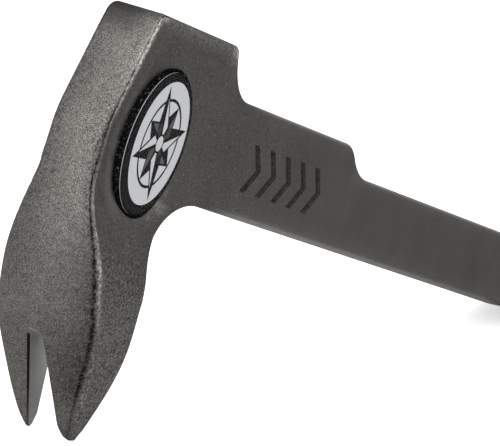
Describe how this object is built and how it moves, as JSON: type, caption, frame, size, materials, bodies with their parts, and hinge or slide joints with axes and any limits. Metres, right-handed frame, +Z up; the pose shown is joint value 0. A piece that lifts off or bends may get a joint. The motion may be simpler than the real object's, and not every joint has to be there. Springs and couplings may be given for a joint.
{
  "type": "pry bar",
  "caption": "Forged hand pry bar and nail puller: flat bar with a stepped neck, strike face, forked rocker claw, forked tail and a round badge on one cheek.",
  "frame": {"origin": "middle of the bounding box's base, on the floor the tool stands on", "axes": "+X along the bar from the head to the tail, +Y out of the cheek without the badge, +Z up; the tool stands on its claw tips and its tail"},
  "size_m": [0.2944, 0.0214, 0.0909],
  "materials": {
    "forged_steel": "dark, fine shot-blasted forging with worn edges",
    "black_foam": "matt black closed-cell foam",
    "printed_film": "light printed film with a dark border",
    "clear_resin": "clear glossy resin"
  },
  "bodies": {
    "root": {"forged_bar": "forged_steel", "badge_pad": "black_foam", "badge_film": "printed_film", "badge_dome": "clear_resin"}
  },
  "joints": []
}
